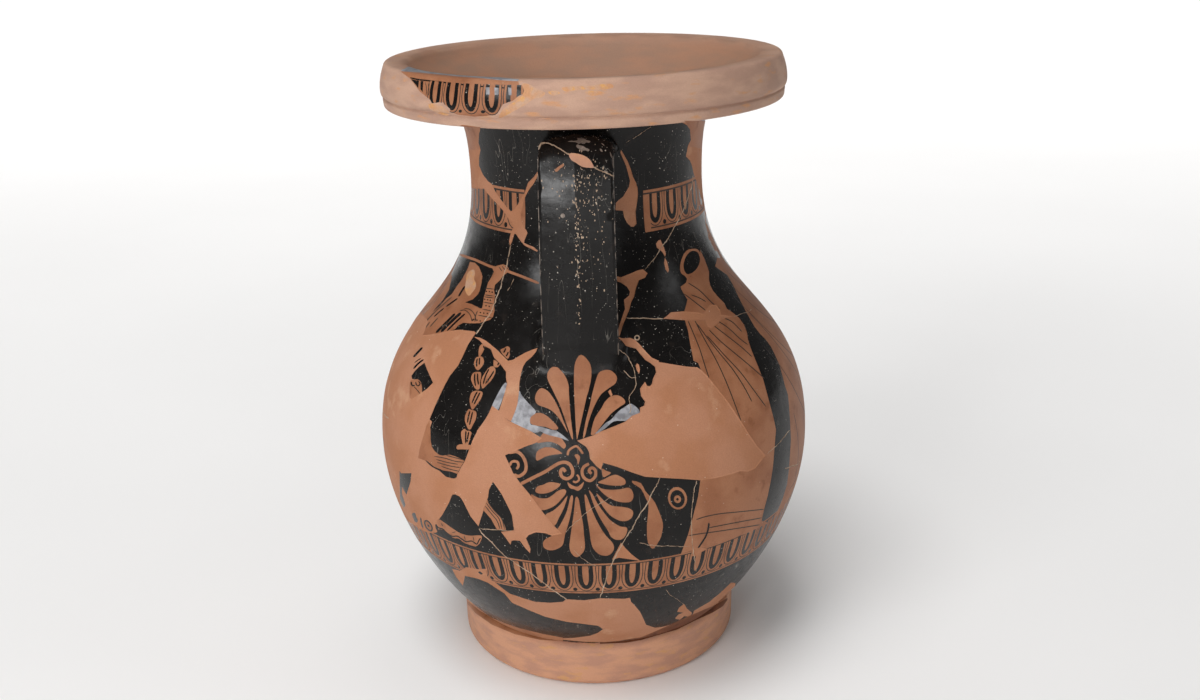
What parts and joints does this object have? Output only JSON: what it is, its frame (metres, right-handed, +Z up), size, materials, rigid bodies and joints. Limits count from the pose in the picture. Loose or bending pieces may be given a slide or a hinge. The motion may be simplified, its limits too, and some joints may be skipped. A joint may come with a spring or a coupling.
{
  "type": "red-figure pelike",
  "caption": "Tall clay storage jar with a broad overhanging lip, pear-shaped body, ring foot and two upright strap handles, mended and painted in black gloss.",
  "frame": {"origin": "middle of the circle that the foot rests on", "axes": "+Z up along the turning axis, one strap handle at -Y and one at +Y, the two painted sides at -X and +X"},
  "size_m": [0.2894, 0.2894, 0.4],
  "materials": {
    "clay": "fired orange clay with black gloss paint, worn, with clay-coloured plaster fills"
  },
  "bodies": {
    "root": {"pelike": "clay"}
  },
  "joints": []
}
